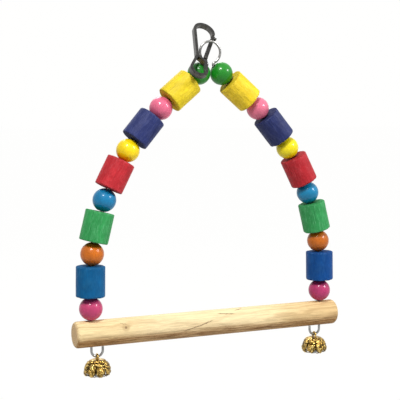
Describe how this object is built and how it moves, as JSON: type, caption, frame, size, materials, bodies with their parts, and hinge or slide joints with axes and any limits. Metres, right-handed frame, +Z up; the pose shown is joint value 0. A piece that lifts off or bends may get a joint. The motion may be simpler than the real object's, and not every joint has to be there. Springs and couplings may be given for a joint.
{
  "type": "bird swing",
  "caption": "Bird swing with an arch of coloured wooden beads and blocks on a steel wire over a wooden perch, claw bells below and a sprung snap hook on top.",
  "frame": {"origin": "middle of the snap hook's top bend, where the cage bar or ring lies", "axes": "+Z up, +X along the perch, +Y away from the side that the hook's lower eye lies on"},
  "size_m": [0.2002, 0.037, 0.2429],
  "materials": {
    "black_nickel": "black nickel plating on steel, bright and dark",
    "steel": "bright drawn steel wire",
    "perch_wood": "bare sanded wood, matt",
    "brass": "pressed sheet brass, polished",
    "green_wood": "dyed and lacquered wood, glossy",
    "yellow_wood": "dyed and lacquered wood, glossy",
    "pink_wood": "dyed and lacquered wood, glossy",
    "blue_wood": "dyed and lacquered wood, glossy",
    "orange_wood": "dyed and lacquered wood, glossy",
    "magenta_wood": "dyed and lacquered wood, glossy",
    "yellow_stain": "stained wood, satin",
    "navy_stain": "stained wood, satin",
    "red_stain": "stained wood, satin",
    "green_stain": "stained wood, satin",
    "blue_stain": "stained wood, satin"
  },
  "bodies": {
    "hook": {"hook_body": "black_nickel", "gate_pin": "steel", "gate_spring": "steel"},
    "gate": {"hook_gate": "black_nickel"},
    "arch": {"wire_ring": "steel", "left_wire": "steel", "right_wire": "steel", "perch": "perch_wood"},
    "left_green_bead": {"left_green_bead": "green_wood"},
    "left_yellow_block": {"left_yellow_block": "yellow_stain"},
    "left_pink_bead": {"left_pink_bead": "pink_wood"},
    "left_navy_block": {"left_navy_block": "navy_stain"},
    "left_yellow_bead": {"left_yellow_bead": "yellow_wood"},
    "left_red_block": {"left_red_block": "red_stain"},
    "left_blue_bead": {"left_blue_bead": "blue_wood"},
    "left_green_block": {"left_green_block": "green_stain"},
    "left_orange_bead": {"left_orange_bead": "orange_wood"},
    "left_blue_block": {"left_blue_block": "blue_stain"},
    "left_magenta_bead": {"left_magenta_bead": "magenta_wood"},
    "left_bell": {"left_bell_shell": "brass", "left_bell_shank": "brass"},
    "left_ball": {"left_bell_ball": "steel"},
    "right_green_bead": {"right_green_bead": "green_wood"},
    "right_yellow_block": {"right_yellow_block": "yellow_stain"},
    "right_pink_bead": {"right_pink_bead": "pink_wood"},
    "right_navy_block": {"right_navy_block": "navy_stain"},
    "right_yellow_bead": {"right_yellow_bead": "yellow_wood"},
    "right_red_block": {"right_red_block": "red_stain"},
    "right_blue_bead": {"right_blue_bead": "blue_wood"},
    "right_green_block": {"right_green_block": "green_stain"},
    "right_orange_bead": {"right_orange_bead": "orange_wood"},
    "right_blue_block": {"right_blue_block": "blue_stain"},
    "right_magenta_bead": {"right_magenta_bead": "magenta_wood"},
    "right_bell": {"right_bell_shell": "brass", "right_bell_shank": "brass"},
    "right_ball": {"right_bell_ball": "steel"}
  },
  "joints": [
    {"name": "gate_hinge", "type": "hinge", "parent": "hook", "child": "gate", "pos_m": [-0.00643, -0.0174, -0.01965], "axis": [0.0934, -0.7603, 0.6428], "range_deg": [0, 12], "stiffness_Nm_per_rad": 0.004, "springref_deg": -20.05},
    {"name": "arch_swing", "type": "hinge", "parent": "hook", "child": "arch", "pos_m": [0.0003, -0.011, -0.0067], "axis": [1, 0, 0], "range_deg": [0, 60]},
    {"name": "left_green_bead_spin", "type": "hinge", "parent": "arch", "child": "left_green_bead", "pos_m": [-0.0082, -0.011, -0.02891], "axis": [0.7627, 0, 0.6468], "continuous": true},
    {"name": "left_yellow_block_spin", "type": "hinge", "parent": "arch", "child": "left_yellow_block", "pos_m": [-0.0224, -0.011, -0.04095], "axis": [0.7627, 0, 0.6468], "continuous": true},
    {"name": "left_pink_bead_spin", "type": "hinge", "parent": "arch", "child": "left_pink_bead", "pos_m": [-0.03646, -0.011, -0.05315], "axis": [0.7287, 0, 0.6848], "continuous": true},
    {"name": "left_navy_block_spin", "type": "hinge", "parent": "arch", "child": "left_navy_block", "pos_m": [-0.04927, -0.011, -0.06665], "axis": [0.6459, 0, 0.7634], "continuous": true},
    {"name": "left_yellow_bead_spin", "type": "hinge", "parent": "arch", "child": "left_yellow_bead", "pos_m": [-0.06046, -0.011, -0.08152], "axis": [0.5547, 0, 0.8321], "continuous": true},
    {"name": "left_red_block_spin", "type": "hinge", "parent": "arch", "child": "left_red_block", "pos_m": [-0.06989, -0.011, -0.09757], "axis": [0.4562, 0, 0.8899], "continuous": true},
    {"name": "left_blue_bead_spin", "type": "hinge", "parent": "arch", "child": "left_blue_bead", "pos_m": [-0.07742, -0.011, -0.11459], "axis": [0.3518, 0, 0.9361], "continuous": true},
    {"name": "left_green_block_spin", "type": "hinge", "parent": "arch", "child": "left_green_block", "pos_m": [-0.08296, -0.011, -0.13235], "axis": [0.2428, 0, 0.9701], "continuous": true},
    {"name": "left_orange_bead_spin", "type": "hinge", "parent": "arch", "child": "left_orange_bead", "pos_m": [-0.08644, -0.011, -0.15063], "axis": [0.1307, 0, 0.9914], "continuous": true},
    {"name": "left_blue_block_spin", "type": "hinge", "parent": "arch", "child": "left_blue_block", "pos_m": [-0.08781, -0.011, -0.16919], "axis": [0.0168, 0, 0.9999], "continuous": true},
    {"name": "left_magenta_bead_spin", "type": "hinge", "parent": "arch", "child": "left_magenta_bead", "pos_m": [-0.08784, -0.011, -0.18781], "axis": [0, 0, 1], "continuous": true},
    {"name": "left_bell_swing", "type": "hinge", "parent": "arch", "child": "left_bell", "pos_m": [-0.08384, -0.011, -0.22093], "axis": [1, 0, 0], "range_deg": [-70, 70]},
    {"name": "left_ball_rattle", "type": "slide", "parent": "left_bell", "child": "left_ball", "axis": [0, 0, 1], "range_m": [0, 0.004]},
    {"name": "right_green_bead_spin", "type": "hinge", "parent": "arch", "child": "right_green_bead", "pos_m": [0.0088, -0.011, -0.02891], "axis": [-0.7627, 0, 0.6468], "continuous": true},
    {"name": "right_yellow_block_spin", "type": "hinge", "parent": "arch", "child": "right_yellow_block", "pos_m": [0.023, -0.011, -0.04095], "axis": [-0.7627, 0, 0.6468], "continuous": true},
    {"name": "right_pink_bead_spin", "type": "hinge", "parent": "arch", "child": "right_pink_bead", "pos_m": [0.03706, -0.011, -0.05315], "axis": [-0.7287, 0, 0.6848], "continuous": true},
    {"name": "right_navy_block_spin", "type": "hinge", "parent": "arch", "child": "right_navy_block", "pos_m": [0.04987, -0.011, -0.06665], "axis": [-0.6459, 0, 0.7634], "continuous": true},
    {"name": "right_yellow_bead_spin", "type": "hinge", "parent": "arch", "child": "right_yellow_bead", "pos_m": [0.06106, -0.011, -0.08152], "axis": [-0.5547, 0, 0.8321], "continuous": true},
    {"name": "right_red_block_spin", "type": "hinge", "parent": "arch", "child": "right_red_block", "pos_m": [0.07049, -0.011, -0.09757], "axis": [-0.4562, 0, 0.8899], "continuous": true},
    {"name": "right_blue_bead_spin", "type": "hinge", "parent": "arch", "child": "right_blue_bead", "pos_m": [0.07802, -0.011, -0.11459], "axis": [-0.3518, 0, 0.9361], "continuous": true},
    {"name": "right_green_block_spin", "type": "hinge", "parent": "arch", "child": "right_green_block", "pos_m": [0.08356, -0.011, -0.13235], "axis": [-0.2428, 0, 0.9701], "continuous": true},
    {"name": "right_orange_bead_spin", "type": "hinge", "parent": "arch", "child": "right_orange_bead", "pos_m": [0.08704, -0.011, -0.15063], "axis": [-0.1307, 0, 0.9914], "continuous": true},
    {"name": "right_blue_block_spin", "type": "hinge", "parent": "arch", "child": "right_blue_block", "pos_m": [0.08841, -0.011, -0.16919], "axis": [-0.0168, 0, 0.9999], "continuous": true},
    {"name": "right_magenta_bead_spin", "type": "hinge", "parent": "arch", "child": "right_magenta_bead", "pos_m": [0.08844, -0.011, -0.18781], "axis": [0, 0, 1], "continuous": true},
    {"name": "right_bell_swing", "type": "hinge", "parent": "arch", "child": "right_bell", "pos_m": [0.08444, -0.011, -0.22093], "axis": [1, 0, 0], "range_deg": [-70, 70]},
    {"name": "right_ball_rattle", "type": "slide", "parent": "right_bell", "child": "right_ball", "axis": [0, 0, 1], "range_m": [0, 0.004]}
  ]
}
